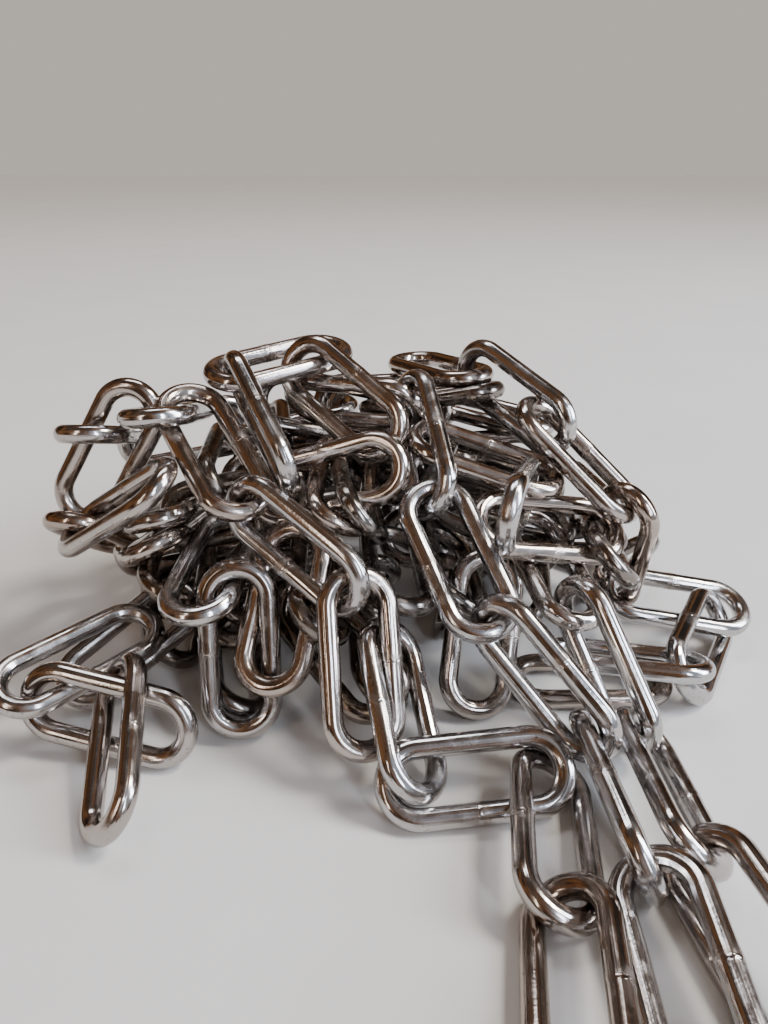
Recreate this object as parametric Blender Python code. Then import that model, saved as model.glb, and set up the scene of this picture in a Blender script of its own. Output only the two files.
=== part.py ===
"""A heap of polished long-link steel chain, lying loose on a level floor.

Each link is one closed ring of round wire: two straight bars joined by two half-round ends.
The visible links are laid strand by strand, from places read by eye off the heap. Each link is
hung in the one before it, and all are then nudged apart until no two wires are nearer than the
wire's own thickness and a small clearance. The links hidden inside are one plain core.

Metres, +Z up, +Y away from the viewer.
"""

import math

import bmesh
import bpy
import numpy as np
from mathutils import Matrix

# Sizes of one link
WIRE = 0.006  # diameter of the round wire
INSIDE_LENGTH = 0.042  # the chain's pitch
INSIDE_WIDTH = 0.012
CLEARANCE = 0.0003  # between two wires that touch

# Facets of one link
WIRE_RINGS = 2  # bevel resolution: 8 sides round the wire
END_STEPS = 6  # straight steps round each half-round end

# The lay is drawn in steps of 1/42 of the pitch: 1 mm on this chain
LAY_STEP = INSIDE_LENGTH / 42

# Core: the hidden links in one low dome
CORE_CENTRE_X = -4 * LAY_STEP
CORE_CENTRE_Y = 250 * LAY_STEP
CORE_HALF_LENGTH = 73 * LAY_STEP
CORE_HALF_DEPTH = 52 * LAY_STEP
CORE_HEIGHT = 55 * LAY_STEP
CORE_FULLNESS = 2.5  # 2 makes the dome a true ellipsoid, and more makes it fuller
CORE_SIDES = 28
CORE_RINGS = 16  # of the whole ball that the dome is cut from

# Surface
STEEL_COLOUR = (0.60, 0.59, 0.57, 1.0)
STEEL_ROUGHNESS = 0.14
CORE_COLOUR = (0.10, 0.10, 0.10, 1.0)
CORE_ROUGHNESS = 0.6

# Nudging: how often, and how far in one round
THREAD_ROUNDS = 120  # rounds in which each strand alone comes to its drawn place
SINK_ROUNDS = 160  # rounds in which the links also sink a little under their weight
CLEAR_ROUNDS = 260  # last rounds, in which wires are only pushed clear of each other
NEIGHBOUR_ROUNDS = 12  # rounds between two searches for near pairs
SINK_STEP = 0.0001
LONGEST_PULL = 0.0003
LONGEST_MOVE = 0.001
PULL = 0.05  # share of the way back to its drawn place that a link takes in each round
LEAST_AHEAD = 0.3  # keeps a folded link at the end of the one before it
FULL_PUSHES = 1.4  # a link pushed from more sides than this takes a share of each push
BAR_CONTACTS = 5  # places along each bar and round each end where a contact is looked for
END_CONTACTS = 7
CONTACT_REPEATS = 4  # steps to the nearest points of two wires
ROUND_TO = 1e-6  # the lay is kept to a thousandth of a millimetre
TINY = 1e-9

WIRE_RADIUS = WIRE / 2
END_RADIUS = (INSIDE_WIDTH + WIRE) / 2  # of the wire's centre line
HALF_BAR = (INSIDE_LENGTH - INSIDE_WIDTH) / 2
HALF_LENGTH = HALF_BAR + END_RADIUS  # of the wire's centre line
TOUCH = WIRE + CLEARANCE  # between the centre lines of two wires that touch
FLOOR_REACH = WIRE_RADIUS + CLEARANCE / 2  # of a centre line over the floor

# How far out a link's wire lies from each of its own axes as it turns about them
TURN_RADII = (0.9 * END_RADIUS, 0.7 * HALF_LENGTH, 0.75 * HALF_LENGTH)

# Each strand is a list of links in order: start, end (steps: x, y, z) and the roll in degrees.
# At roll 0 a link lies as flat as its slope allows, and at 90 it stands on edge.
STRANDS = {
    "front": [
        ((-101, 222, 54), (-81, 227, 90), 60),
        ((-70, 254, 78), (-69, 212, 80), 0),
        ((-60, 224, 89), (-43, 201, 69), -10),
        ((-42, 197, 67), (-12, 172, 51), 65),
        ((-7, 182, 47), (-5, 154, 16), -10),
        ((5, 170, 37), (3, 141, 6), 0),
        ((5, 148, 6), (46, 150, 6), 20),
        ((47, 152, 6), (43, 111, 6), -35),
        ((43, 111, 6), (36, 70, 6), 45),
        ((36, 70, 6), (30, 30, 6), -45),
        ((29, 30, 6), (67, 36, 6), 45),
        ((66, 37, 6), (62, 77, 6), -45),
        ((62, 77, 6), (60, 118, 6), 45),
        ((60, 118, 6), (57, 157, 12), -60),
        ((53, 147, 14), (31, 171, 43), 60),
        ((29, 176, 40), (15, 211, 64), -20),
        ((12, 202, 64), (4, 238, 81), 90),
        ((11, 243, 90), (-29, 251, 83), -75),
    ],
    "right": [
        ((86, 42, 4), (81, 82, 5), 10),
        ((81, 82, 7), (73, 122, 7), -60),
        ((73, 122, 6), (76, 163, 8), 60),
        ((65, 157, 12), (50, 184, 46), 70),
        ((59, 189, 40), (47, 226, 44), -10),
    ],
    "right_crest": [
        ((11, 295, 83), (30, 259, 87), 0),
        ((32, 262, 90), (57, 233, 76), 90),
        ((47, 236, 77), (76, 214, 58), 10),
        ((75, 216, 56), (80, 226, 15), 60),
        ((84, 227, 26), (121, 221, 5), -5),
        ((117, 222, 12), (96, 184, 4), 0),
        ((95, 191, 14), (53, 197, 14), -20),
    ],
    "right_floor": [
        ((87, 193, 5), (45, 193, 5), -12),
    ],
    "middle_floor": [
        ((29, 184, 8), (36, 207, 41), 0),
    ],
    "crest": [
        ((-27, 200, 73), (-51, 229, 93), 75),
        ((-50, 236, 96), (-17, 260, 96), 7),
        ((-27, 249, 94), (1, 221, 78), 60),
    ],
    "crest_low": [
        ((-14, 243, 58), (-13, 203, 62), -38),
        ((3, 214, 71), (-38, 213, 62), -60),
    ],
    "middle": [
        ((14, 227, 78), (51, 219, 65), -10),
        ((46, 221, 66), (31, 185, 63), 90),
        ((33, 205, 56), (73, 215, 49), 8),
    ],
    "left": [
        ((-49, 221, 36), (-51, 185, 49), -20),
        ((-42, 188, 44), (-42, 167, 8), 0),
        ((-34, 174, 23), (-31, 202, 54), -5),
    ],
    "left_floor": [
        ((-69, 133, 4), (-79, 170, 14), -20),
        ((-58, 164, 9), (-96, 160, 20), -75),
        ((-108, 176, 20), (-76, 200, 26), 15),
    ],
    "left_low": [
        ((-92, 186, 14), (-66, 216, 20), 10),
    ],
    "left_slope": [
        ((-71, 206, 56), (-73, 244, 40), 0),
    ],
    "left_ledge": [
        ((-69, 203, 49), (-71, 241, 33), 0),
    ],
    "left_back": [
        ((-62, 197, 73), (-98, 209, 57), -12),
        ((-97, 210, 50), (-95, 244, 26), 0),
        ((-95, 244, 26), (-68, 276, 20), 60),
    ],
    "back": [
        ((-93, 221, 79), (-95, 260, 64), 0),
        ((-93, 260, 62), (-57, 280, 62), 80),
        ((-56, 280, 62), (-16, 290, 66), 0),
        ((-16, 290, 66), (24, 290, 68), 80),
        ((24, 289, 68), (58, 266, 66), 0),
    ],
    "back_floor": [
        ((18, 306, 20), (56, 296, 10), -30),
        ((56, 296, 10), (86, 270, 8), 50),
    ],
}


# Directions and places of a link

def normalised(vectors):
    return vectors / np.sqrt((vectors * vectors).sum(axis=-1, keepdims=True))


def held_to(vectors, longest):
    """The vectors, the long ones shortened."""
    size = np.sqrt((vectors * vectors).sum(axis=-1, keepdims=True))
    return vectors * np.minimum(1, longest / np.maximum(size, TINY))


def axes_of(start, end, roll):
    """The link's three axes as columns: along it, across its eye, and square to its plane."""
    along = normalised(end - start)
    level = normalised(np.cross((0.0, 0.0, 1.0), along))
    upright = np.cross(along, level)
    turn = math.radians(roll)
    across = level * math.cos(turn) + upright * math.sin(turn)
    return np.stack([along, across, np.cross(along, across)], axis=1)


def drawn_strands():
    """Each strand as its links' starts, ends and rolls, in metres and degrees."""
    for links in STRANDS.values():
        starts = np.array([start for start, _, _ in links], float) * LAY_STEP
        ends = np.array([end for _, end, _ in links], float) * LAY_STEP
        yield starts, ends, [roll for _, _, roll in links]


def drawn_lay():
    """Centres and axes of the links as drawn, strand by strand."""
    centres, axes = [], []
    for starts, ends, rolls in drawn_strands():
        centres += list((starts + ends) / 2)
        axes += [axes_of(*link) for link in zip(starts, ends, rolls)]
    return np.array(centres), np.array(axes)


def hung_link(centre_before, before, along):
    """Centre and axes of a link along the given way that hangs in the far end of the one before."""
    ahead = max(before[:, 0] @ along, 0.0) + LEAST_AHEAD
    toward = normalised(ahead * before[:, 0] + (before[:, 1] @ along) * before[:, 1])
    hold = centre_before + before[:, 0] * HALF_BAR + toward * END_RADIUS
    normal = np.cross(before[:, 2], toward)
    normal = normalised(normal - (normal @ along) * along)
    centre = hold + along * (INSIDE_LENGTH - WIRE) / 2
    return centre, np.stack([along, np.cross(normal, along), normal], axis=1)


def threaded_lay():
    """Centres and axes with each link hung in the one before it, near where it is drawn."""
    centres, axes = [], []
    for starts, ends, rolls in drawn_strands():
        centres.append((starts[0] + ends[0]) / 2)
        axes.append(axes_of(starts[0], ends[0], rolls[0]))
        joints = np.concatenate([(ends[:-1] + starts[1:]) / 2, ends[-1:]])
        for joint in joints[1:]:
            before = axes[-1]
            reached = centres[-1] + before[:, 0] * INSIDE_LENGTH / 2
            centre, frame = hung_link(centres[-1], before, normalised(joint - reached))
            centres.append(centre)
            axes.append(frame)
    return np.array(centres), np.array(axes)


def link_names():
    return [
        f"{strand}_link_{number:02d}"
        for strand, links in STRANDS.items()
        for number in range(1, len(links) + 1)
    ]


def centre_line(bar_steps, end_steps):
    """Points once round a link's centre line in its own plane, as (along, across)."""
    bar = np.linspace(-HALF_BAR, HALF_BAR, bar_steps, endpoint=False)
    turn = np.linspace(-math.pi / 2, math.pi / 2, end_steps, endpoint=False)
    along = np.concatenate([bar, HALF_BAR + END_RADIUS * np.cos(turn)])
    across = np.concatenate([np.full(bar_steps, -END_RADIUS), END_RADIUS * np.sin(turn)])
    half = np.stack([along, across], axis=1)
    return np.concatenate([half, -half])


def placed(outline, centres, axes):
    """The outline's points on every link."""
    along = outline[None, :, :1] * axes[:, None, :, 0]
    return centres[:, None] + along + outline[None, :, 1:] * axes[:, None, :, 1]


# Contacts between wires, and with the floor and the core

def chained_pairs():
    """Links that hang in each other, as two lists, each pair both ways round."""
    first, count = [], 0
    for links in STRANDS.values():
        first += range(count, count + len(links) - 1)
        count += len(links)
    first = np.array(first)
    return np.concatenate([first, first + 1]), np.concatenate([first + 1, first])


def near_pairs(centres):
    """Links near enough to touch soon, as two lists, each pair both ways round."""
    apart = centres[:, None] - centres[None]
    near = np.sqrt((apart * apart).sum(axis=-1)) < 2 * HALF_LENGTH + 2 * WIRE
    np.fill_diagonal(near, False)
    return np.nonzero(near)


def nearest_on_link(points, centres, axes):
    """The nearest point of each link's centre line to each given point."""
    offset = points - centres
    along = (offset * axes[..., 0]).sum(axis=-1)
    across = (offset * axes[..., 1]).sum(axis=-1)
    on_bar = np.clip(along, -HALF_BAR, HALF_BAR)
    reach = np.maximum(np.hypot(along - on_bar, across), TINY) / END_RADIUS
    outward = (on_bar + (along - on_bar) / reach)[..., None] * axes[..., 0]
    return centres + outward + (across / reach)[..., None] * axes[..., 1]


def wire_contacts(centres, axes, pairs, outline):
    """Where wires are too near: the two links, a point on each, the push's direction and depth."""
    first, second = pairs
    own = placed(outline, centres, axes)[first]
    other = nearest_on_link(own, centres[second][:, None], axes[second][:, None])
    gap = np.sqrt(((own - other) ** 2).sum(axis=-1))
    lowest = (gap <= np.roll(gap, 1, axis=1)) & (gap <= np.roll(gap, -1, axis=1))
    pair, place = np.nonzero(lowest & (gap < TOUCH + 2 * CLEARANCE))
    a, b = first[pair], second[pair]
    on_b = other[pair, place]
    for _ in range(CONTACT_REPEATS):
        on_a = nearest_on_link(on_b, centres[a], axes[a])
        on_b = nearest_on_link(on_a, centres[b], axes[b])
    push = on_a - on_b
    size = np.maximum(np.sqrt((push * push).sum(axis=-1)), TINY)
    close = size < TOUCH
    return [part[close] for part in (a, b, on_a, on_b, push / size[:, None], TOUCH - size)]


def surface_contacts(centres, axes, outline):
    """Where wires are too near the floor or the core: link, point, push direction and depth."""
    points = placed(outline, centres, axes)
    sunk, place = np.nonzero(points[..., 2] < FLOOR_REACH)
    on_floor = points[sunk, place]
    up = np.tile((0.0, 0.0, 1.0), (len(sunk), 1))
    offset = points - np.array([CORE_CENTRE_X, CORE_CENTRE_Y, 0.0])
    halves = np.array([CORE_HALF_LENGTH, CORE_HALF_DEPTH, CORE_HEIGHT])
    share = np.abs(offset) / halves
    level = np.maximum((share ** CORE_FULLNESS).sum(axis=-1), TINY) ** (1 / CORE_FULLNESS)
    slope = np.sign(offset) * (share / level[..., None]) ** (CORE_FULLNESS - 1) / halves
    steepness = np.maximum(np.sqrt((slope * slope).sum(axis=-1)), TINY)
    depth = WIRE_RADIUS + CLEARANCE - (level - 1) / steepness
    inside, spot = np.nonzero(depth > 0)
    outward = slope[inside, spot] / steepness[inside, spot][:, None]
    return (
        np.concatenate([sunk, inside]),
        np.concatenate([on_floor, points[inside, spot]]),
        np.concatenate([up, outward]),
        np.concatenate([FLOOR_REACH - on_floor[:, 2], depth[inside, spot]]),
    )


# Nudging

def spin_from(arm, push, axes):
    """How a push at the end of an arm turns each link, and how easily it does so."""
    moment = np.cross(arm, push)
    own = np.einsum("nij,ni->nj", axes, moment) / np.square(TURN_RADII)
    spin = np.einsum("nij,nj->ni", axes, own)
    return spin, (moment * spin).sum(axis=-1)


def turned(axes, spin):
    """Axes turned by a small rotation vector and squared up again."""
    along = normalised(axes[..., 0] + np.cross(spin, axes[..., 0]))
    across = axes[..., 1] + np.cross(spin, axes[..., 1])
    across = normalised(across - (across * along).sum(axis=-1, keepdims=True) * along)
    return np.stack([along, across, np.cross(along, across)], axis=-1)


def facing(axes, drawn_axes):
    """The small turn that takes each link towards its drawn axes, either side up."""
    same_side = np.sign((axes[..., 1] * drawn_axes[..., 1]).sum(axis=-1, keepdims=True))
    turn = np.cross(axes[..., 0], drawn_axes[..., 0])
    return turn + np.cross(axes[..., 1], drawn_axes[..., 1] * same_side)


def pushed_apart(centres, axes, pairs, outline):
    """The move and the turn of each link that take its wire out of the others."""
    a, b, on_a, on_b, push, depth = wire_contacts(centres, axes, pairs, outline)
    c, on_c, outward, sunk = surface_contacts(centres, axes, outline)
    spin_a, ease_a = spin_from(on_a - centres[a], push, axes[a])
    spin_b, ease_b = spin_from(on_b - centres[b], push, axes[b])
    spin_c, ease_c = spin_from(on_c - centres[c], outward, axes[c])
    share = (depth / (2 + ease_a + ease_b))[:, None]
    share_c = (sunk / (1 + ease_c))[:, None]
    moved = np.concatenate([a, b, c])
    move, spin = np.zeros_like(centres), np.zeros_like(centres)
    np.add.at(move, moved, np.concatenate([share * push, -share * push, share_c * outward]))
    np.add.at(spin, moved, np.concatenate([share * spin_a, -share * spin_b, share_c * spin_c]))
    pushes = np.bincount(moved, minlength=len(centres))
    ease = (FULL_PUSHES / np.maximum(pushes, FULL_PUSHES))[:, None]
    return move * ease, spin * ease


def settled_lay():
    """Centres and axes once the wires are clear of each other, the floor and the core."""
    drawn_centres, drawn_axes = drawn_lay()
    centres, axes = threaded_lay()
    outline = centre_line(BAR_CONTACTS, END_CONTACTS)
    pairs = chained_pairs()
    for number in range(-THREAD_ROUNDS, SINK_ROUNDS + CLEAR_ROUNDS):
        if number >= 0 and number % NEIGHBOUR_ROUNDS == 0:
            pairs = near_pairs(centres)
        move, spin = pushed_apart(centres, axes, pairs, outline)
        held = min(1 - number / SINK_ROUNDS, 1)
        if held > 0:
            move += held_to(PULL * held * (drawn_centres - centres), LONGEST_PULL)
            spin += held_to(PULL * held * facing(axes, drawn_axes), LONGEST_PULL / END_RADIUS)
        if 0 <= number < SINK_ROUNDS:
            move[:, 2] -= SINK_STEP * held
        reach = np.sqrt((move * move).sum(axis=-1)) + HALF_LENGTH * np.sqrt((spin * spin).sum(axis=-1))
        limit = np.minimum(1, LONGEST_MOVE / np.maximum(reach, TINY))[:, None]
        centres = np.round((centres + move * limit) / ROUND_TO) * ROUND_TO
        axes = turned(axes, spin * limit)
    return centres, axes


# Solids

def finish(name, colour, roughness):
    """A plain metal material."""
    material = bpy.data.materials.new(name)
    material.use_nodes = True
    surface = material.node_tree.nodes["Principled BSDF"]
    surface.inputs["Base Color"].default_value = colour
    surface.inputs["Metallic"].default_value = 1.0
    surface.inputs["Roughness"].default_value = roughness
    material.diffuse_color = colour
    return material


def link_curve(steel):
    """One link as a closed run of round wire, lying flat about its own middle."""
    curve = bpy.data.curves.new("link", "CURVE")
    curve.dimensions = "3D"
    curve.bevel_depth = WIRE_RADIUS
    curve.bevel_resolution = WIRE_RINGS
    outline = centre_line(1, END_STEPS)
    spline = curve.splines.new("POLY")
    spline.points.add(len(outline) - 1)
    for point, (along, across) in zip(spline.points, outline):
        point.co = (along, across, 0.0, 1.0)
    spline.use_cyclic_u = True
    curve.materials.append(steel)
    return curve


def core_mesh(dark):
    """The low dome that stands for the hidden links, flat on the floor."""
    dome = bmesh.new()
    bmesh.ops.create_uvsphere(dome, u_segments=CORE_SIDES, v_segments=CORE_RINGS, radius=1.0)
    for vert in dome.verts:
        vert.co /= sum(abs(part) ** CORE_FULLNESS for part in vert.co) ** (1 / CORE_FULLNESS)
    whole = dome.verts[:] + dome.edges[:] + dome.faces[:]
    cut = bmesh.ops.bisect_plane(dome, geom=whole, dist=TINY, plane_no=(0, 0, 1), clear_inner=True)
    rim = [edge for edge in cut["geom_cut"] if isinstance(edge, bmesh.types.BMEdge)]
    bmesh.ops.edgeloop_fill(dome, edges=rim)
    bmesh.ops.recalc_face_normals(dome, faces=dome.faces[:])
    mesh = bpy.data.meshes.new("heap_core")
    dome.to_mesh(mesh)
    dome.free()
    mesh.transform(Matrix.Diagonal((CORE_HALF_LENGTH, CORE_HALF_DEPTH, CORE_HEIGHT, 1.0)))
    mesh.materials.append(dark)
    return mesh


def bounds(objects):
    """Least and greatest corner of the objects as evaluated."""
    bpy.context.view_layer.update()
    graph = bpy.context.evaluated_depsgraph_get()
    corners = []
    for obj in objects:
        evaluated = obj.evaluated_get(graph)
        mesh = evaluated.to_mesh()
        points = np.empty(3 * len(mesh.vertices), np.float32)
        mesh.vertices.foreach_get("co", points)
        world = np.array(obj.matrix_world)
        corners.append(points.reshape(-1, 3) @ world[:3, :3].T + world[:3, 3])
        evaluated.to_mesh_clear()
    corners = np.concatenate(corners)
    return corners.min(axis=0), corners.max(axis=0)


def main():
    for obj in list(bpy.data.objects):
        bpy.data.objects.remove(obj, do_unlink=True)
    heap = bpy.data.collections.new("chain_heap")
    bpy.context.scene.collection.children.link(heap)

    steel = finish("polished_steel", STEEL_COLOUR, STEEL_ROUGHNESS)
    dark = finish("shaded_steel", CORE_COLOUR, CORE_ROUGHNESS)
    link = link_curve(steel)
    for name, centre, axes in zip(link_names(), *settled_lay()):
        obj = bpy.data.objects.new(name, link)
        heap.objects.link(obj)
        obj.matrix_world = Matrix.Translation(centre) @ Matrix(axes).to_4x4()

    core = bpy.data.objects.new("heap_core", core_mesh(dark))
    heap.objects.link(core)
    core.location = (CORE_CENTRE_X, CORE_CENTRE_Y, 0.0)

    low, high = bounds(heap.objects)
    middle = (low + high) / 2
    for obj in heap.objects:
        obj.location.x -= middle[0]
        obj.location.y -= middle[1]
        obj.location.z -= low[2]
    print("origin at", [round(float(value), 6) for value in (middle[0], middle[1], low[2])])


main()
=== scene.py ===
# %% [markdown]
# A heap of polished long-link steel chain, dressed for its picture.
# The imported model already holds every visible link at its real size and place, as a ring with
# eight flats round its wire. This lesson sweeps each ring again as smooth round wire with its
# weld, fills the mound with more chain, and gives the steel its polish, draw lines and smudges.

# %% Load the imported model
import math

import bpy
import numpy as np
from mathutils import Matrix, Vector


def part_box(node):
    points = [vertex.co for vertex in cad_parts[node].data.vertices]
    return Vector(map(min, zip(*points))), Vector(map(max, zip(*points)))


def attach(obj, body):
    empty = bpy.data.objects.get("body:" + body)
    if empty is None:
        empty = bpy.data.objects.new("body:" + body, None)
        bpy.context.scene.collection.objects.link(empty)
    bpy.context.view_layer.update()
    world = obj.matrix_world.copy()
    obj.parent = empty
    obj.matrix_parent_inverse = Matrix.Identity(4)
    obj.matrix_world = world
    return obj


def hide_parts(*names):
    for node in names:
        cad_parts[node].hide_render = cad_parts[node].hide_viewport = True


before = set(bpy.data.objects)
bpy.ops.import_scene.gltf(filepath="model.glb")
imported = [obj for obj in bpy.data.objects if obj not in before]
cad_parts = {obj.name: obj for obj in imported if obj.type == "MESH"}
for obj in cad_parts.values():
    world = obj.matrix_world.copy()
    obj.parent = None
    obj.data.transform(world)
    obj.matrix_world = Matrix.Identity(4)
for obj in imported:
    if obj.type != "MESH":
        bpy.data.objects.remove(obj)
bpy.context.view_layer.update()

# %% [markdown]
# The chain is sold by three sizes: the wire, and the length and width inside the link. The
# inside length is also the pitch, because each link hangs in the ends of its neighbours. All
# other lengths of a link follow from these three, so they are worked out once here.

# %% Sizes of the chain, in metres
WIRE = 0.006
INSIDE_LENGTH = 0.042
INSIDE_WIDTH = 0.012

WIRE_RADIUS = WIRE / 2
END_RADIUS = (INSIDE_WIDTH + WIRE) / 2
HALF_BAR = (INSIDE_LENGTH - INSIDE_WIDTH) / 2
HALF_LENGTH = HALF_BAR + END_RADIUS
WIRE_RUN = 4 * HALF_BAR + 2 * math.pi * END_RADIUS
print("wire in one link, mm:", round(1000 * WIRE_RUN, 1))

# %% [markdown]
# A link's place can be read from its solid. The points of a ring are spread evenly about its
# middle, so their mean is the centre. The three main directions of their spread are the link's
# own axes: longest along the bars, next across the eye, and least square to its plane.
# A main direction has no sign, so a rule picks one: the weld goes on the bar at minus across,
# and from one link of a strand to the next it changes sides.

# %% Read each link's centre and axes
MERGE_DECIMALS = 7


def link_place(node, weld_side):
    """Centre and axes (along, across, square, as columns) of a link, from its solid."""
    points = np.empty(3 * len(node.data.vertices))
    node.data.vertices.foreach_get("co", points)
    # The triangles are loose, so each corner comes several times and is counted once
    points = np.unique(points.reshape(-1, 3).round(MERGE_DECIMALS), axis=0)
    centre = points.mean(axis=0)
    spread = np.linalg.eigh(np.cov((points - centre).T))[1]
    along, across = spread[:, 2], spread[:, 1]
    across = across * weld_side * (1 if across[0] < 0 else -1)
    along = along * (1 if along[1] > 0 else -1)
    return centre, np.stack([along, across, np.cross(along, across)], axis=1)


link_nodes = sorted(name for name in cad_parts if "_link_" in name)
strands, places = {}, {}
for name in link_nodes:
    strand, number = name.split("_link_")
    strands.setdefault(strand, []).append(name)
    places[name] = link_place(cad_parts[name], 1 if int(number) % 2 else -1)
print(len(link_nodes), "links in", len(strands), "strands")

# %% [markdown]
# Inside the mound the solids have one plain dome. The real heap has more chain there, seen in
# shade through the gaps. It is made as short wandering rows, layer upon layer, each layer
# crossing the one below it. The rows fill a mound that is wider than the dome and much higher,
# up to the visible links.

# %% The mound that the rows fill
# Its half sizes as shares of the dome's, and how far its middle is from the dome's, in metres
MOUND_SHARES = (1.16, 1.36, 1.62)
MOUND_SHIFT = (0.006, -0.008, 0.0)

# With 2 the mound is an ellipsoid, and with more it is fuller at the shoulders
FULLNESS = 2.3

dome_low, dome_high = (np.array(corner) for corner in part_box("heap_core"))
mound_centre = np.array([*(dome_low + dome_high)[:2] / 2, 0.0]) + MOUND_SHIFT
mound_halves = np.array([*(dome_high - dome_low)[:2] / 2, dome_high[2]]) * MOUND_SHARES


def mound_room(*shares):
    """What is left of a half size of the mound, as a share, at these shares of the others."""
    return max(1 - sum(abs(share) ** FULLNESS for share in shares), 0.0) ** (1 / FULLNESS)


print("half sizes of the mound, mm:", [round(1000 * float(half)) for half in mound_halves])

# %% [markdown]
# In a row each link hangs in the one before it and is rolled the other way about its own length,
# as in a real chain that lies flat. A little chance in the roll and the heading keeps the rows
# from looking combed, and a fixed seed makes it fall out the same each time.

# %% Lay the rows
LAYERS = 6
FIRST_LAYER = 0.008
LAYER_STEP = 0.0135
ROW_STEP = 0.023
ROW_SEED = 7

# A link's roll, and how far its roll and its heading may be off, in radians
ROLL = math.radians(50)
ROLL_WANDER = 0.3
HEADING_WANDER = 0.35

chance = np.random.default_rng(ROW_SEED)


def level_axes(heading, roll):
    """Axes of a level link that points along a heading and is rolled about its own length."""
    along = np.array([math.cos(heading), math.sin(heading), 0.0])
    level = np.array([-math.sin(heading), math.cos(heading), 0.0])
    across = level * math.cos(roll) + np.array([0.0, 0.0, math.sin(roll)])
    return np.stack([along, across, np.cross(along, across)], axis=1)


def wandering_row(start, heading, count):
    """Places of a row's links, each hung in the one before it."""
    row_places, joint = [], start
    for number in range(count):
        roll = ROLL * (-1) ** number + chance.uniform(-ROLL_WANDER, ROLL_WANDER)
        turned_to = heading + chance.uniform(-HEADING_WANDER, HEADING_WANDER)
        link_axes = level_axes(turned_to, roll)
        row_places.append((joint + link_axes[:, 0] * INSIDE_LENGTH / 2, link_axes))
        joint = joint + link_axes[:, 0] * INSIDE_LENGTH
    return row_places


inner_places = []
for layer in range(LAYERS):
    height = FIRST_LAYER + layer * LAYER_STEP
    room = mound_room(height / mound_halves[2])
    lengthwise, crosswise = (0, 1) if layer % 2 else (1, 0)
    rows = max(round(2 * mound_halves[crosswise] * room / ROW_STEP), 1)
    for row in range(rows):
        offset = (row - (rows - 1) / 2) * ROW_STEP
        reach = mound_halves[lengthwise] * mound_room(
            height / mound_halves[2], offset / mound_halves[crosswise]
        )
        count = int((2 * reach + WIRE) / INSIDE_LENGTH)
        start = mound_centre + np.array([0.0, 0.0, height])
        start[crosswise] += offset
        start[lengthwise] -= count * INSIDE_LENGTH / 2
        inner_places += wandering_row(start, 0.0 if lengthwise == 0 else math.pi / 2, count)
print(len(inner_places), "links inside the mound")

# %% [markdown]
# Rows drawn by rule run into each other and into the visible links. To find where, points are
# set along the centre line of each wire. A centre line is two straight bars and two half rounds,
# so the nearest point on it can be worked out directly from any other point.

# %% Measure between two wires
BAR_STEPS = 5
END_STEPS = 7
TINY = 1e-9


def ring_points(bar_steps, end_steps):
    """Points once round a link's centre line, as (along, across)."""
    bar = np.linspace(-HALF_BAR, HALF_BAR, bar_steps, endpoint=False)
    turn = np.linspace(-math.pi / 2, math.pi / 2, end_steps, endpoint=False)
    along = np.concatenate([bar, HALF_BAR + END_RADIUS * np.cos(turn)])
    across = np.concatenate([np.full(bar_steps, -END_RADIUS), END_RADIUS * np.sin(turn)])
    half = np.stack([along, across], axis=1)
    return np.concatenate([half, -half])


outline = ring_points(BAR_STEPS, END_STEPS)


def wire_points(centres, axes):
    """The outline's points on every link, where the link lies."""
    return centres[:, None] + np.einsum("pk,nik->npi", outline, axes[:, :, :2])


def nearest_on_ring(points, centres, axes):
    """The nearest point of each link's centre line to each given point."""
    offset = points - centres
    along = (offset * axes[..., 0]).sum(axis=-1)
    across = (offset * axes[..., 1]).sum(axis=-1)
    on_bar = np.clip(along, -HALF_BAR, HALF_BAR)
    reach = np.maximum(np.hypot(along - on_bar, across), TINY) / END_RADIUS
    outward = (on_bar + (along - on_bar) / reach)[..., None] * axes[..., 0]
    return centres + outward + (across / reach)[..., None] * axes[..., 1]


def near_pairs(centres, moving):
    """Pairs of links near enough to touch, the first of each pair an inner one."""
    apart = np.linalg.norm(centres[:, None] - centres[None], axis=-1)
    near = (apart < 2 * HALF_LENGTH + WIRE) & moving[:, None]
    np.fill_diagonal(near, False)
    return np.nonzero(near)


print(len(outline), "points round each link")

# %% [markdown]
# Two wires run into each other where their centre lines are nearer than a wire's thickness, and
# a wire runs into the floor where its centre line is lower than its radius. Each such place is
# noted, with the way out of it and how far that is.

# %% Find where the inner links run into something
UP = (0.0, 0.0, 1.0)


def overlaps(centres, axes, pairs, moving):
    """Link, point, way out and depth of every place where an inner link runs into something."""
    first, second = pairs
    points = wire_points(centres, axes)
    own = points[first]
    other = nearest_on_ring(own, centres[second][:, None], axes[second][:, None])
    push = own - other
    gap = np.maximum(np.linalg.norm(push, axis=-1), TINY)
    pair, place = np.nonzero(gap < WIRE)
    # Two inner links go half the way each, and beside a visible link the inner one goes it all
    depth = (WIRE - gap[pair, place]) * np.where(moving[second[pair]], 0.5, 1.0)
    push = push[pair, place] / gap[pair, place][:, None]
    sunk, spot = np.nonzero((points[..., 2] < WIRE_RADIUS) & moving[:, None])
    link = np.concatenate([first[pair], sunk])
    point = np.concatenate([own[pair, place], points[sunk, spot]])
    push = np.concatenate([push, np.tile(UP, (len(sunk), 1))])
    depth = np.concatenate([depth, WIRE_RADIUS - points[sunk, spot, 2]])
    return link, point, push, depth


every_place = [places[name] for name in link_nodes] + inner_places
centres = np.array([centre for centre, _ in every_place])
axes = np.array([link_axes for _, link_axes in every_place])
moving = np.arange(len(every_place)) >= len(link_nodes)
pairs = near_pairs(centres, moving)
print("overlaps to clear:", len(overlaps(centres, axes, pairs, moving)[0]))

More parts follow.
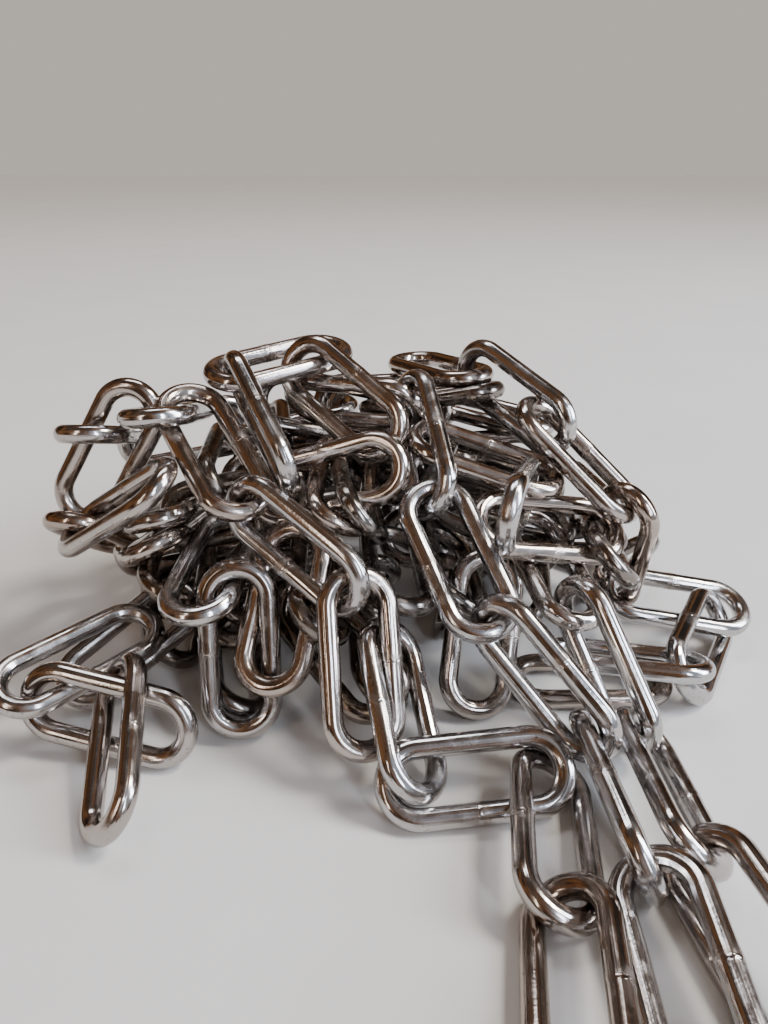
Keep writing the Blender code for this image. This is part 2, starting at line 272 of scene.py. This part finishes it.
# %% [markdown]
# Each inner link is pushed out of these places and turned a little, again and again. The visible
# links stay where the model has them.
# A physics simulation would do the same, but rings inside rings need very fine steps there.

# %% Nudge the inner links apart
NUDGES = 260
NEIGHBOUR_ROUNDS = 10
LONGEST_NUDGE = 0.001

# How far the wire lies from each of the link's axes, which says how hard it is to turn about it
TURN_RADII = (0.9 * END_RADIUS, 0.7 * HALF_LENGTH, 0.75 * HALF_LENGTH)


def turned_axes(axes, spin):
    """Axes after a small turn, made square to each other again."""
    along = axes[..., 0] + np.cross(spin, axes[..., 0])
    across = axes[..., 1] + np.cross(spin, axes[..., 1])
    along /= np.linalg.norm(along, axis=-1, keepdims=True)
    across -= (across * along).sum(axis=-1, keepdims=True) * along
    across /= np.linalg.norm(across, axis=-1, keepdims=True)
    return np.stack([along, across, np.cross(along, across)], axis=-1)


def nudged(centres, axes, pairs, moving):
    """Centres and axes after one small push of every inner link."""
    link, point, push, depth = overlaps(centres, axes, pairs, moving)
    moment = np.cross(point - centres[link], push)
    turn = np.einsum("nij,ni->nj", axes[link], moment) / np.square(TURN_RADII)
    turn = np.einsum("nij,nj->ni", axes[link], turn)
    share = (depth / (1 + (moment * turn).sum(axis=-1)))[:, None]
    move, spin = np.zeros_like(centres), np.zeros_like(centres)
    np.add.at(move, link, share * push)
    np.add.at(spin, link, share * turn)
    # Pushes from many points would add up to too much, so they are shared out by half their number
    pushes = np.maximum(np.bincount(link, minlength=len(centres)) / 2, 1)[:, None]
    move, spin = move / pushes, spin / pushes
    size = np.linalg.norm(move, axis=-1) + HALF_LENGTH * np.linalg.norm(spin, axis=-1)
    limit = np.minimum(1, LONGEST_NUDGE / np.maximum(size, TINY))[:, None]
    return centres + move * limit, turned_axes(axes, spin * limit)


for number in range(NUDGES):
    if number % NEIGHBOUR_ROUNDS == 0:
        pairs = near_pairs(centres, moving)
    centres, axes = nudged(centres, axes, pairs, moving)

# A link that ends up a little under the floor is lifted onto it
lowest = wire_points(centres, axes)[..., 2].min(axis=1)
centres[moving, 2] += np.maximum(WIRE_RADIUS - lowest[moving], 0)
print("links lifted onto the floor:", int((lowest[moving] < WIRE_RADIUS).sum()))

# %% [markdown]
# Some inner links find no room. The one that runs deepest into another wire is taken out, and
# the rest are measured again, until no wire runs into another by more than a little over 1 mm.
# That much is left, because it hardly shows so deep inside.

# %% Take out the links that find no room
MOST_OVERLAP = 0.0012


def deepest_overlaps(centres, axes, pairs):
    """How far each link's wire runs into another, at most."""
    first, second = pairs
    own = wire_points(centres, axes)[first]
    other = nearest_on_ring(own, centres[second][:, None], axes[second][:, None])
    gaps = np.linalg.norm(own - other, axis=-1).min(axis=1)
    deepest = np.zeros(len(centres))
    np.maximum.at(deepest, first, WIRE - gaps)
    return deepest


with_room = moving.copy()
while True:
    pairs = near_pairs(centres, with_room)
    among = with_room | ~moving
    kept_pairs = tuple(part[among[pairs[1]]] for part in pairs)
    deepest = deepest_overlaps(centres, axes, kept_pairs)
    if deepest.max() <= MOST_OVERLAP:
        break
    with_room[deepest.argmax()] = False
inner_places = list(zip(centres[with_room], axes[with_room]))
print(len(inner_places), "inner links found room")
print("deepest overlap left, mm:", round(1000 * deepest.max(), 2))

# %% [markdown]
# Materials and geometry are both node trees. One helper adds a node, sets its settings and
# fills its sockets: a socket given as a value is joined by a link, and anything else is set.
# Colours are written as on a screen, in sRGB hex, and a second helper turns them to linear.

# %% A helper that adds a node, and one for colours
def add_node(tree, kind, sockets=None, **settings):
    """A new node of a kind, with its settings set and its sockets filled."""
    node = tree.nodes.new(kind)
    for name, value in settings.items():
        setattr(node, name, value)
    for socket, value in (sockets or {}).items():
        if isinstance(value, bpy.types.NodeSocket):
            tree.links.new(value, node.inputs[socket])
        else:
            node.inputs[socket].default_value = value
    return node


def srgb(code):
    """A colour written as sRGB hex, in the linear values that Blender works in."""
    parts = [int(code[place:place + 2], 16) / 255 for place in (1, 3, 5)]
    linear = [
        part / 12.92 if part <= 0.04045 else ((part + 0.055) / 1.055) ** 2.4 for part in parts
    ]
    return (*linear, 1.0)


print("middle grey, linear:", round(srgb("#808080")[0], 3))

# %% [markdown]
# The wire is plain carbon steel, drawn through a die, bent, butt-welded and then tumbled bright.
# The die leaves fine lines along the wire, under 0.1 mm apart. They are drawn 1.1 mm apart here,
# because finer ones would not show. They follow the wire round its bends, so they read its own
# run and round, which the mesh will store. Handling adds smudges of about 9 mm and small nicks,
# which lie anywhere on the piece.

# %% Marks on the wire
DRAW_LINE = 0.0011
DRAW_LINE_RUN = 0.060
SMUDGE = 0.009
NICK = 0.0009
WELD_TINT = 0.0035


def wire_marks(tree, tone):
    """How strong the draw lines, smudges, nicks and weld are at a point of the wire."""
    run = add_node(tree, "ShaderNodeAttribute", attribute_name="wire_run").outputs["Fac"]
    around = add_node(tree, "ShaderNodeAttribute", attribute_name="wire_round").outputs["Vector"]
    place = add_node(tree, "ShaderNodeTexCoord").outputs["Object"]

    # Draw lines: noise that is stretched along the wire, and shifted by the link's tone
    shifted = add_node(tree, "ShaderNodeMath", {0: tone, 1: run}, operation="ADD").outputs[0]
    stretched = add_node(
        tree, "ShaderNodeMath", {0: shifted, 1: DRAW_LINE / DRAW_LINE_RUN}, operation="MULTIPLY"
    ).outputs[0]
    split = add_node(tree, "ShaderNodeSeparateXYZ", {0: around})
    on_wire = add_node(
        tree, "ShaderNodeCombineXYZ",
        {"X": stretched, "Y": split.outputs["X"], "Z": split.outputs["Y"]},
    ).outputs[0]
    lines = add_node(
        tree, "ShaderNodeTexNoise",
        {"Vector": on_wire, "Scale": 1 / DRAW_LINE, "Detail": 2.0, "Roughness": 0.42},
    ).outputs["Fac"]

    # Smudges and nicks: noise that is the same in all directions
    smudges = add_node(
        tree, "ShaderNodeTexNoise",
        {"Vector": place, "Scale": 1 / SMUDGE, "Detail": 4.0, "Roughness": 0.65,
         "Distortion": 0.6},
    ).outputs["Fac"]
    smear = add_node(
        tree, "ShaderNodeMapRange",
        {"Value": smudges, "From Min": 0.42, "From Max": 0.68, "To Min": 0.0, "To Max": 1.0},
        interpolation_type="SMOOTHSTEP",
    ).outputs[0]
    nicks = add_node(
        tree, "ShaderNodeTexNoise",
        {"Vector": place, "Scale": 1 / NICK, "Detail": 2.0, "Roughness": 0.5},
    ).outputs["Fac"]

    # The weld: the run starts and ends in its middle, so it is where the run is near either end
    from_half = add_node(
        tree, "ShaderNodeMath", {0: run, 1: WIRE_RUN / 2}, operation="SUBTRACT"
    ).outputs[0]
    from_half = add_node(tree, "ShaderNodeMath", {0: from_half}, operation="ABSOLUTE").outputs[0]
    weld = add_node(
        tree, "ShaderNodeMapRange",
        {"Value": from_half, "From Min": WIRE_RUN / 2 - WELD_TINT, "From Max": WIRE_RUN / 2,
         "To Min": 0.0, "To Max": 1.0},
        interpolation_type="SMOOTHSTEP",
    ).outputs[0]
    return lines, smear, nicks, weld


print("draw lines round the wire, about:", round(math.pi * WIRE / DRAW_LINE))

# %% [markdown]
# Tumbling rounds the lines off and leaves the steel almost a mirror, so they only break each
# reflection into long streaks. Smudges make it rougher, the strongest nicks are dark, and the
# weld is rougher and has a tint of its own. Each link has a tone between a cool and a warm one.
# Inside the heap the wire is a little rougher, and its darker colour there is painted shade for
# the links seen through the gaps.

# %% Tumbled bright steel wire
DRAW_LINE_DEPTH = 0.0002
DRAW_LINE_ROUGHNESS = 0.05
NICK_DEPTH = 0.0001
NICK_COLOUR = "#867C73"
WELD_ROUGHNESS = 0.1
WELD_COLOUR = "#A69D95"

# A mix node has number and vector sockets first, so its colours are 6 and 7 and its result is 2
COLOUR_A = 6
COLOUR_B = 7
COLOUR_OUT = 2


def steel_wire(name, cool, warm, least_rough, most_rough):
    """Bright steel wire between two tones, smudged from one roughness to another."""
    material = bpy.data.materials.new(name)
    material.use_nodes = True
    tree = material.node_tree
    tree.nodes.clear()
    tone = add_node(tree, "ShaderNodeAttribute", attribute_name="link_tone").outputs["Fac"]
    lines, smear, nicks, weld = wire_marks(tree, tone)

    toned = add_node(
        tree, "ShaderNodeMix",
        {0: tone, COLOUR_A: srgb(cool), COLOUR_B: srgb(warm)},
        data_type="RGBA",
    ).outputs[COLOUR_OUT]
    tinted = add_node(
        tree, "ShaderNodeMix",
        {0: weld, COLOUR_A: toned, COLOUR_B: srgb(WELD_COLOUR)},
        data_type="RGBA",
    ).outputs[COLOUR_OUT]
    # Only the strongest nicks are dark
    nicked = add_node(
        tree, "ShaderNodeMapRange",
        {"Value": nicks, "From Min": 0.63, "From Max": 0.75, "To Min": 0.0, "To Max": 1.0},
    ).outputs[0]
    worn = add_node(
        tree, "ShaderNodeMix",
        {0: nicked, COLOUR_A: tinted, COLOUR_B: srgb(NICK_COLOUR)},
        data_type="RGBA",
    ).outputs[COLOUR_OUT]

    rough = add_node(
        tree, "ShaderNodeMapRange",
        {"Value": smear, "From Min": 0.0, "From Max": 1.0,
         "To Min": least_rough, "To Max": most_rough},
    ).outputs[0]
    for mark, more in ((lines, DRAW_LINE_ROUGHNESS), (weld, WELD_ROUGHNESS)):
        rough = add_node(
            tree, "ShaderNodeMath", {0: mark, 1: more, 2: rough}, operation="MULTIPLY_ADD"
        ).outputs[0]

    lined = add_node(
        tree, "ShaderNodeBump",
        {"Height": lines, "Strength": 1.0, "Distance": DRAW_LINE_DEPTH},
    ).outputs[0]
    bumpy = add_node(
        tree, "ShaderNodeBump",
        {"Height": nicks, "Normal": lined, "Strength": 0.2, "Distance": NICK_DEPTH},
    ).outputs[0]
    surface = add_node(
        tree, "ShaderNodeBsdfPrincipled",
        {"Base Color": worn, "Metallic": 1.0, "Roughness": rough, "Normal": bumpy},
    )
    add_node(tree, "ShaderNodeOutputMaterial", {"Surface": surface.outputs[0]})
    return material


steel = steel_wire("tumbled_bright_steel_wire", "#BEBDBD", "#AEA197", 0.11, 0.24)
# The inner links get darker tones of the same steel, as painted shade for the inside of the mound
painted_shade_steel = steel_wire("inner_steel_wire_painted_shade", "#8A8581", "#7A6F65", 0.14, 0.30)
print("steel:", len(steel.node_tree.nodes), "nodes")

# %% [markdown]
# One Geometry Nodes tree makes every link, in two steps. First comes the centre line of its wire.
# A circle is pulled apart at its middle, which gives two half-round ends and two straight bars,
# and its first point falls in the middle of one bar. There the wire is butt-welded, so it swells
# a little. How far each point has run along the wire is stored for the material to read.

# %% The centre line of a link
RING_POINTS = 128
SNAP_STEP = 1e-5


def centre_line(tree, given, position):
    """A link's centre line, which starts at its weld and has the run along it stored."""
    ring = add_node(
        tree, "GeometryNodeCurvePrimitiveCircle",
        {"Resolution": RING_POINTS, "Radius": given["End radius"]},
    )
    start_low = add_node(
        tree, "GeometryNodeTransform",
        {"Geometry": ring.outputs[0], "Rotation": (0.0, 0.0, -math.pi / 2)},
    )
    across_ring = add_node(tree, "ShaderNodeSeparateXYZ", {0: position}).outputs["X"]
    # Rounding keeps the two points on the split exactly at the middle of their bars
    rounded = add_node(tree, "ShaderNodeMath", {0: across_ring, 1: SNAP_STEP}, operation="SNAP")
    side = add_node(tree, "ShaderNodeMath", {0: rounded.outputs[0]}, operation="SIGN")
    shift = add_node(
        tree, "ShaderNodeMath", {0: side.outputs[0], 1: given["Half bar"]}, operation="MULTIPLY"
    )
    pull = add_node(tree, "ShaderNodeCombineXYZ", {"X": shift.outputs[0]})
    stadium = add_node(
        tree, "GeometryNodeSetPosition",
        {"Geometry": start_low.outputs[0], "Offset": pull.outputs[0]},
    )
    even = add_node(
        tree, "GeometryNodeResampleCurve",
        {"Curve": stadium.outputs[0], "Count": given["Steps along"]},
    )
    run = tree.nodes.new("GeometryNodeSplineParameter").outputs["Length"]
    return add_node(
        tree, "GeometryNodeStoreNamedAttribute",
        {"Geometry": even.outputs[0], "Name": "wire_run", "Value": run},
        data_type="FLOAT", domain="POINT",
    ).outputs[0]


def weld_swelling(tree, given, position):
    """How thick the wire is at a point of the centre line, as a share of its plain thickness."""
    low_bar = add_node(
        tree, "ShaderNodeMath", {0: given["End radius"], 1: -1.0}, operation="MULTIPLY"
    )
    weld_at = add_node(tree, "ShaderNodeCombineXYZ", {"Y": low_bar.outputs[0]})
    from_weld = add_node(
        tree, "ShaderNodeVectorMath", {0: position, 1: weld_at.outputs[0]}, operation="DISTANCE"
    ).outputs["Value"]
    swollen = add_node(
        tree, "ShaderNodeMath", {0: given["Weld swell"], 1: 1.0}, operation="ADD"
    )
    return add_node(
        tree, "ShaderNodeMapRange",
        {"Value": from_weld, "From Min": 0.0, "From Max": given["Weld half"],
         "To Min": swollen.outputs[0], "To Max": 1.0},
        interpolation_type="SMOOTHSTEP",
    ).outputs[0]


print("a centre line starts as a ring of", RING_POINTS, "points")

# %% [markdown]
# Then a small circle is swept along the line, and one copy of this link goes on each point of a
# bare mesh, turned by the axes stored there. The place round the wire is stored too, and one
# random tone for each link.

# %% The link tree
WELD_HALF = 0.0022
WELD_SWELL = 0.035


def link_tree():
    """The tree that puts one welded link on each point of a mesh."""
    tree = bpy.data.node_groups.new("links_on_points", "GeometryNodeTree")
    ask = tree.interface.new_socket
    ask("Geometry", in_out="OUTPUT", socket_type="NodeSocketGeometry")
    ask("Geometry", in_out="INPUT", socket_type="NodeSocketGeometry")
    for name in ("Wire radius", "End radius", "Half bar", "Weld swell", "Weld half"):
        ask(name, in_out="INPUT", socket_type="NodeSocketFloat")
    for name in ("Steps along", "Steps round", "Seed"):
        ask(name, in_out="INPUT", socket_type="NodeSocketInt")
    ask("Material", in_out="INPUT", socket_type="NodeSocketMaterial")
    given = tree.nodes.new("NodeGroupInput").outputs

    position = tree.nodes.new("GeometryNodeInputPosition").outputs[0]
    line = centre_line(tree, given, position)
    swell = weld_swelling(tree, given, position)
    profile = add_node(
        tree, "GeometryNodeCurvePrimitiveCircle",
        {"Resolution": given["Steps round"], "Radius": given["Wire radius"]},
    )
    kept_round = add_node(
        tree, "GeometryNodeStoreNamedAttribute",
        {"Geometry": profile.outputs[0], "Name": "wire_round", "Value": position},
        data_type="FLOAT_VECTOR", domain="POINT",
    )
    swept = add_node(
        tree, "GeometryNodeCurveToMesh",
        {"Curve": line, "Profile Curve": kept_round.outputs[0], "Scale": swell},
    )
    smooth = add_node(tree, "GeometryNodeSetShadeSmooth", {"Geometry": swept.outputs[0]})

    turn = add_node(
        tree, "GeometryNodeInputNamedAttribute", {"Name": "link_turn"}, data_type="QUATERNION"
    ).outputs[0]
    copies = add_node(
        tree, "GeometryNodeInstanceOnPoints",
        {"Points": given["Geometry"], "Instance": smooth.outputs[0], "Rotation": turn},
    )
    tone = add_node(tree, "FunctionNodeRandomValue", {"Seed": given["Seed"]}, data_type="FLOAT")
    toned = add_node(
        tree, "GeometryNodeStoreNamedAttribute",
        {"Geometry": copies.outputs[0], "Name": "link_tone", "Value": tone.outputs[1]},
        data_type="FLOAT", domain="INSTANCE",
    )
    real = add_node(tree, "GeometryNodeRealizeInstances", {"Geometry": toned.outputs[0]})
    finished = add_node(
        tree, "GeometryNodeSetMaterial",
        {"Geometry": real.outputs[0], "Material": given["Material"]},
    )
    add_node(tree, "NodeGroupOutput", {0: finished.outputs[0]})
    return tree


links_on_points = link_tree()
print("link tree:", len(links_on_points.nodes), "nodes")

# %% [markdown]
# The tree works on a bare mesh with one point for each link, and the link's axes go with each
# point as a quaternion. The evaluated result becomes a plain mesh and the modifier goes, because
# the finished piece has to be an ordinary mesh at the origin.

# %% Make links on a set of places
FINE_STEPS = (96, 18)


def made_links(name, link_places, seed, material, steps):
    """One mesh object holding a link at each place, with steps along and round its wire."""
    bare = bpy.data.meshes.new(name)
    bare.from_pydata([tuple(centre) for centre, _ in link_places], [], [])
    turns = [Matrix(link_axes.tolist()).to_quaternion() for _, link_axes in link_places]
    stored = bare.attributes.new("link_turn", "QUATERNION", "POINT")
    stored.data.foreach_set("value", [part for turn in turns for part in turn])
    piece = bpy.data.objects.new(name, bare)
    bpy.context.scene.collection.objects.link(piece)
    modifier = piece.modifiers.new("links", "NODES")
    modifier.node_group = links_on_points
    sockets = {
        item.name: item.identifier
        for item in links_on_points.interface.items_tree
        if item.in_out == "INPUT"
    }
    values = {
        "Wire radius": WIRE_RADIUS,
        "End radius": END_RADIUS,
        "Half bar": HALF_BAR,
        "Weld swell": WELD_SWELL,
        "Weld half": WELD_HALF,
        "Steps along": steps[0],
        "Steps round": steps[1],
        "Seed": seed,
        "Material": material,
    }
    for socket, value in values.items():
        modifier[sockets[socket]] = value
    graph = bpy.context.evaluated_depsgraph_get()
    plain = bpy.data.meshes.new_from_object(
        piece.evaluated_get(graph), preserve_all_data_layers=True, depsgraph=graph
    )
    piece.modifiers.remove(modifier)
    piece.data = plain
    bpy.data.meshes.remove(bare)
    return piece


for seed, (strand, names) in enumerate(strands.items()):
    strand_places = [places[name] for name in names]
    piece = made_links(f"{strand}_links", strand_places, seed, steel, FINE_STEPS)
    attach(piece, "root")
    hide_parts(*names)
    print(piece.name, len(names), "links,", 2 * len(piece.data.polygons), "triangles")

# %% [markdown]
# The links inside are hardly seen, so they have fewer steps. They take the place of the dome.

# %% Fill the mound
PLAIN_STEPS = (60, 12)
INNER_TONE_SEED = 99

# They wear the darker steel, whose colour is painted shade
inner_links = made_links("inner_links", inner_places, INNER_TONE_SEED, painted_shade_steel, PLAIN_STEPS)
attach(inner_links, "root")
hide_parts("heap_core")
print("inner_links", 2 * len(inner_links.data.polygons), "triangles")

# %% [markdown]
# The floor is plain and pale, a little warm, and faintly mottled in blots of about 70 mm, so
# that the steel has something soft to reflect.

# %% The floor
MOTTLES_PER_METRE = 14.0
FLOOR_HALF = 4.0


def matt_pale_floor():
    """A matt floor between two pale tones."""
    material = bpy.data.materials.new("matt_pale_floor")
    material.use_nodes = True
    tree = material.node_tree
    surface = tree.nodes["Principled BSDF"]
    place = add_node(tree, "ShaderNodeTexCoord").outputs["Object"]
    mottle = add_node(
        tree, "ShaderNodeTexNoise", {"Vector": place, "Scale": MOTTLES_PER_METRE, "Detail": 5.0}
    ).outputs["Fac"]
    colour = add_node(
        tree, "ShaderNodeMix",
        {0: mottle, COLOUR_A: srgb("#D3D0CA"), COLOUR_B: srgb("#DDDAD5")},
        data_type="RGBA",
    ).outputs[COLOUR_OUT]
    tree.links.new(colour, surface.inputs["Base Color"])
    surface.inputs["Roughness"].default_value = 1.0
    surface.inputs["Specular IOR Level"].default_value = 0.1
    return material


floor_mesh = bpy.data.meshes.new("floor")
corners = [(x * FLOOR_HALF, y * FLOOR_HALF, 0.0) for x, y in ((-1, -1), (1, -1), (1, 1), (-1, 1))]
floor_mesh.from_pydata(corners, [], [(0, 1, 2, 3)])
floor_mesh.materials.append(matt_pale_floor())
floor = bpy.data.objects.new("floor", floor_mesh)
bpy.context.scene.collection.objects.link(floor)
print("floor is", 2 * FLOOR_HALF, "m square")

# %% [markdown]
# Polished steel has hardly a colour of its own, so it is drawn by what it reflects. Soft boxes
# give the long white streaks: a big one at the right for the daylight, a narrow one at the front
# right, a broad one above and behind, and a weak warm one at the front left. A soft sun lights
# the floor evenly.

# %% Lights
HEAP_MIDDLE = Vector((0.0, 0.03, 0.03))
SUN_FROM = Vector((0.75, 0.05, 1.0))
SUN_SPREAD = math.radians(14)


def soft_box(name, place, size, watts, colour):
    """A rectangular lamp that is turned to the middle of the heap."""
    data = bpy.data.lights.new(name, "AREA")
    data.shape = "RECTANGLE"
    data.size, data.size_y = size
    data.energy = watts
    data.color = srgb(colour)[:3]
    lamp = bpy.data.objects.new(name, data)
    lamp.location = place
    toward_heap = HEAP_MIDDLE - Vector(place)
    lamp.rotation_euler = toward_heap.to_track_quat("-Z", "Y").to_euler()
    bpy.context.scene.collection.objects.link(lamp)


soft_box("daylight_right", (1.5, -0.2, 0.8), (0.5, 1.0), 42, "#E4EDFF")
soft_box("strip_front_right", (0.8, -1.3, 0.9), (0.16, 1.0), 13, "#E4EDFF")
soft_box("strip_front_left", (-0.9, -1.1, 0.9), (0.12, 0.9), 3, "#FFF0E2")
soft_box("broad_top", (-0.2, 0.7, 1.6), (0.9, 0.35), 8, "#F4F7FF")

sun_data = bpy.data.lights.new("soft_sun", "SUN")
sun_data.energy = 2.3
sun_data.angle = SUN_SPREAD
sun_data.color = srgb("#FFFBF4")[:3]
sun = bpy.data.objects.new("soft_sun", sun_data)
sun.rotation_euler = SUN_FROM.to_track_quat("Z", "Y").to_euler()
bpy.context.scene.collection.objects.link(sun)

# %% [markdown]
# Between the lights the room is dark and warm, and broken up by big soft blots, as a room with
# things in it is. That makes the dark sides of the wire.

# %% The dark side of the room
LOW_WALL = "#4A3C31"
HIGH_WALL = "#2C231C"
CEILING_EDGE = "#2E2823"
CEILING = "#4A4541"
WARM_BLOT = "#8F6543"


def dark_side(tree, way):
    """The room's colour in each direction, before any daylight."""
    up = add_node(tree, "ShaderNodeSeparateXYZ", {0: way}).outputs["Z"]
    ramp = add_node(tree, "ShaderNodeValToRGB", {"Fac": up})
    stops = ramp.color_ramp.elements
    stops[0].position, stops[0].color = 0.0, srgb(LOW_WALL)
    stops[1].position, stops[1].color = 1.0, srgb(CEILING)
    for position, code in ((0.15, HIGH_WALL), (0.5, CEILING_EDGE)):
        stops.new(position).color = srgb(code)

    blots = add_node(tree, "ShaderNodeTexNoise", {"Vector": way, "Scale": 2.6, "Detail": 3.0})
    in_blot = add_node(
        tree, "ShaderNodeMapRange",
        {"Value": blots.outputs["Fac"], "From Min": 0.42, "From Max": 0.60},
        interpolation_type="SMOOTHSTEP",
    ).outputs[0]
    return add_node(
        tree, "ShaderNodeMix",
        {0: in_blot, COLOUR_A: ramp.outputs[0], COLOUR_B: srgb(WARM_BLOT)},
        data_type="RGBA",
    ).outputs[COLOUR_OUT]


print("warm blot, linear:", [round(part, 3) for part in srgb(WARM_BLOT)[:3]])

# %% [markdown]
# Toward the right front the room turns cool and light, where the daylight comes in. The camera
# sees a plain pale backdrop in the room's place, near the tone that the floor has far away, so
# that no hard edge shows behind the heap.

# %% Daylight and the backdrop
DAYLIGHT = "#B4BCC6"
BACKDROP = "#C3BCB2"
DAYLIGHT_FROM = (0.72, -0.50, 0.48)


def dim_room():
    """A world that reflects a dark warm room and shows the camera a pale backdrop."""
    world = bpy.data.worlds.new("dim_room")
    world.use_nodes = True
    tree = world.node_tree
    background = tree.nodes["Background"]
    way = add_node(tree, "ShaderNodeTexCoord").outputs["Generated"]
    toward_daylight = add_node(
        tree, "ShaderNodeVectorMath", {0: way, 1: DAYLIGHT_FROM}, operation="DOT_PRODUCT"
    ).outputs["Value"]
    in_daylight = add_node(
        tree, "ShaderNodeMapRange",
        {"Value": toward_daylight, "From Min": 0.60, "From Max": 0.97},
        interpolation_type="SMOOTHSTEP",
    ).outputs[0]
    lit = add_node(
        tree, "ShaderNodeMix",
        {0: in_daylight, COLOUR_A: dark_side(tree, way), COLOUR_B: srgb(DAYLIGHT)},
        data_type="RGBA",
    ).outputs[COLOUR_OUT]

    seen = add_node(tree, "ShaderNodeLightPath").outputs["Is Camera Ray"]
    shown = add_node(
        tree, "ShaderNodeMix",
        {0: seen, COLOUR_A: lit, COLOUR_B: srgb(BACKDROP)},
        data_type="RGBA",
    ).outputs[COLOUR_OUT]
    tree.links.new(shown, background.inputs["Color"])
    bpy.context.scene.world = world
    return world


print(dim_room().name)

# %% [markdown]
# The camera stands close to the heap, 160 mm above the floor, and looks 26.4 degrees down through
# a wide lens. Its place and tilt were worked out from the links, whose size is known. The picture
# is 1024 pixels high and takes the whole 36 mm of the sensor, so the focal length of 748 pixels
# makes 26.3 mm.

# %% The camera
CAMERA_PLACE = (-0.0078, -0.1699, 0.160)
CAMERA_TILT = 26.4

camera_data = bpy.data.cameras.new("camera")
camera_data.lens = 26.3
camera_data.sensor_width = 36.0
camera_data.clip_start = 0.01
camera = bpy.data.objects.new("camera", camera_data)
camera.location = CAMERA_PLACE
camera.rotation_euler = (math.radians(90 - CAMERA_TILT), 0.0, 0.0)
bpy.context.scene.collection.objects.link(camera)
bpy.context.scene.camera = camera
print("lens, mm:", round(camera_data.lens, 1))
